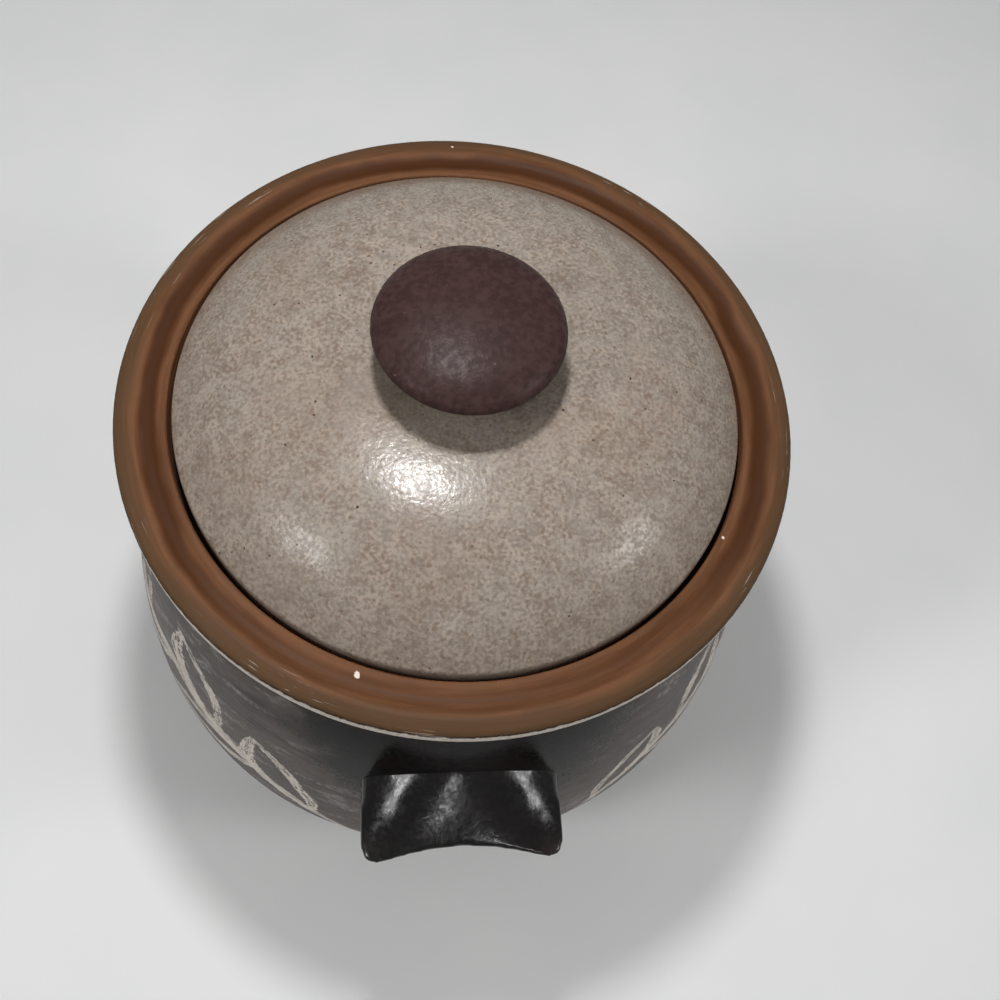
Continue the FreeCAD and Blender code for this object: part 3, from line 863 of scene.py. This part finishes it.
for x, y, size in CHIPS:
    away = vector(tree, "DISTANCE", from_above, (x * MM, y * MM, 0), answer="Value")
    chip = ease(tree, plus(tree, away, ruffle), (size + 0.6) * MM, (size + 0.35) * MM)
    finish = tinted(tree, finish, times(tree, chip, on_top), (0.78, 0.66, 0.58, 1))
# Painted shade: the gallery wall round the lid is darkened towards the ledge.
gallery_shade = ease(tree, height, RIM_TOP - 2 * MM, RIM_TOP - 4 * MM)
gallery_shade = times(tree, gallery_shade, ease(tree, radius, GALLERY + MM, GALLERY + 0.5 * MM))
finish_material(tree, tinted(tree, finish, gallery_shade, GAP_SHADE_BROWN), gloss=0.08)

# %% The inside: the same brown, with the lid's ledge left bare so that the lid doesn't stick, and painted shade in the gap round the lid
brown_inside, tree, point = start_material("brown_inside")
height, radius = height_and_radius(tree, point)
ledge = use(tree, "ragged_band", Value=height, From=LEDGE_HEIGHT - MM, To=LEDGE_HEIGHT + 3 * MM,
            Point=point)["Mask"]
ledge = times(tree, ledge, ease(tree, radius, LID - 0.6 * MM, LID - 1.4 * MM))
finish = lay_over(tree, ledge, use(tree, "tan_brown", Point=point),
                  use(tree, "bare_clay", Point=point))
# Painted shade: the ledge next to the gallery, in the gap round the lid's edge, is darkened.
gap_shade = ease(tree, radius, LID - 1.4 * MM, LID - 0.6 * MM)
finish_material(tree, tinted(tree, finish, gap_shade, GAP_SHADE_BROWN))

# %% The lugs: black, running out into slate where their clay is smeared on the wall
black_lug, tree, point = start_material("black_lug")
finish_material(tree, slate_with_black_and_rim_shade(tree, point), gloss=0.4)

# %% The lid: oatmeal, warmer in patches and towards its edge, bare where it sits on the ledge
oatmeal_lid, tree, point = start_material("oatmeal_lid")
height, radius = height_and_radius(tree, point)
seat = use(tree, "ragged_band", Value=height, From=LEDGE_HEIGHT - MM, To=LEDGE_HEIGHT + 0.6 * MM,
           Point=point)["Mask"]
finish = lay_over(tree, seat, use(tree, "oatmeal", Point=point),
                  use(tree, "bare_clay", Point=point))
warm = calc(tree, "MAXIMUM", ease(tree, noise(tree, point, 28 * MM, 2), 0.48, 0.66),
            ease(tree, radius, LID - 14 * MM, LID - 2 * MM, 0, 0.6))
finish = tinted(tree, finish, times(tree, warm, 0.2), (0.21, 0.135, 0.095, 1))
finish_material(tree, finish, gloss=0.3)

# %% The knob: iron brown, pale in places just under its edge, from rubbed wear and painted glints
iron_knob, tree, point = start_material("iron_knob")
height, radius = height_and_radius(tree, point)
finish = use(tree, "iron_brown", Point=point)
# Rubbed wear and painted glints in one mask: the edge is made pale in patches where lamps glint on
# it.
edge = times(tree, ease(tree, height, KNOB_EDGE_HEIGHT, KNOB_EDGE_HEIGHT - 0.6 * MM),
             ease(tree, radius, KNOB - 2.2 * MM, KNOB - MM))
edge = times(tree, edge, ease(tree, noise(tree, point, 9 * MM, 4), 0.45, 0.55))
finish = tinted(tree, finish, times(tree, edge, 0.6), (0.24, 0.17, 0.14, 1))
finish_material(tree, finish, gloss=0.12)

# %% Which faces of the pot get which finish
def faces_out(face, low):
    """How far the face looks away from the axis. Below the height given, all count as outside."""
    across = Vector((face.center.x, face.center.y, 0))
    return face.normal.dot(across.normalized()) if face.center.z > low else 1


def on_rim(face):
    return face.center.z > RIM_UNDER + NEAR and face.center.xy.length > GALLERY - NEAR


def inside(face):
    floor = face.center.xy.length < FLOOR and FOOT_RECESS + MM < face.center.z
    ledge = face.center.z > LEDGE_HEIGHT - MM and face.center.xy.length < GALLERY
    return not on_rim(face) and (floor or ledge or faces_out(face, FLOOR_HEIGHT - MM) < -0.1)


for material in (slate_wall, brown_rim, brown_inside):
    pot.data.materials.append(material)
take(pot)
bpy.ops.object.mode_set(mode="EDIT")
for number, chosen in ((1, on_rim), (2, inside)):
    count = pick(pot, "FACE", chosen)
    pot.active_material_index = number
    bpy.ops.object.material_slot_assign()
    print(pot.data.materials[number].name, count, "faces")
bpy.ops.object.mode_set(mode="OBJECT")
for piece, material in ((lug, black_lug), (rear_lug, black_lug), (lid, oatmeal_lid),
                        (knob, iron_knob)):
    piece.data.materials.append(material)

# %% Riding
for piece, node, body, glaze in (
    (pot, "pot_body", "pot", "slate_glaze"),
    (lug, "lug_handle_front", "pot", "black_glaze"),
    (rear_lug, "lug_handle_rear", "pot", "black_glaze"),
    (lid, "lid", "cover", "oatmeal_glaze"),
    (knob, "lid_knob", "cover", "iron_glaze"),
):
    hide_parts(node)
    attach(piece, body)

# %% [markdown]
# # Table, light and camera
# The pot stands on a pale table under ceiling lamps, and is seen from above and in front.

# %% The table
pale_table, tree, point = start_material("pale_table")
haze = noise(tree, point, 60 * MM, 3)
shader = tree.nodes["Principled BSDF"]
table_colour = blend(tree, ease(tree, haze, 0.3, 0.7), (0.87, 0.88, 0.875, 1), (0.9, 0.905, 0.9, 1))
tree.links.new(table_colour, shader.inputs["Base Color"])
tree.links.new(ease(tree, haze, 0.3, 0.7, 0.55, 0.65), shader.inputs["Roughness"])
let_go_of_all()
bpy.ops.mesh.primitive_plane_add(size=6, location=(0, 0, 0))
table = bpy.context.object
table.name = "table"
table.data.materials.append(pale_table)

# %% The camera, turned, tilted and rolled by these angles in degrees
TURN, TILT, ROLL = 13.97, 64.25, 12.14
EYE = (-22.9 * MM, -152.9 * MM, 419.2 * MM)
LENS, PICTURE_WIDTH = 45, 36
turn, tilt, roll = (math.radians(angle) for angle in (TURN, TILT, ROLL))
ahead = Vector((math.sin(turn) * math.cos(tilt), math.cos(turn) * math.cos(tilt), -math.sin(tilt)))
level = ahead.cross(Vector((0, 0, 1))).normalized()
upward = level.cross(ahead)
side = level * math.cos(roll) + upward * math.sin(roll)
top = upward * math.cos(roll) - level * math.sin(roll)
camera = bpy.data.objects.new("camera", bpy.data.cameras.new("camera"))
bpy.context.collection.objects.link(camera)
camera.matrix_world = Matrix((side, top, -ahead)).transposed().to_4x4()
camera.location = EYE
camera.data.lens, camera.data.sensor_width = LENS, PICTURE_WIDTH
camera.data.clip_start = 10 * MM
bpy.context.scene.camera = camera

# %% The lamps, and the pale room round them
def ceiling_lamp(name, place, watts, width):
    """A round lamp of that width, aimed at the foot of the pot."""
    lamp = bpy.data.lights.new(name, "AREA")
    lamp.shape, lamp.size, lamp.energy = "DISK", width, watts
    hung = bpy.data.objects.new(name, lamp)
    bpy.context.collection.objects.link(hung)
    hung.location = place
    hung.rotation_euler = (-Vector(place)).to_track_quat("-Z", "Y").to_euler()


ceiling_lamp("main_lamp", (-0.028, 0.038, 0.497), 0.92, 0.045)
ceiling_lamp("left_lamp", (-0.97, -0.475, 1.04), 4.9, 0.34)
ceiling_lamp("right_lamp", (1.12, -0.42, 0.9), 3.8, 0.34)
ceiling_lamp("front_lamp", (-0.03, -1.26, 1.04), 0.7, 0.1)
world = bpy.data.worlds.new("room")
world.use_nodes = True
room_light = world.node_tree.nodes["Background"].inputs
room_light["Color"].default_value, room_light["Strength"].default_value = (1, 1, 1, 1), 0.25
bpy.context.scene.world = world
bpy.context.scene.view_settings.view_transform = "Standard"
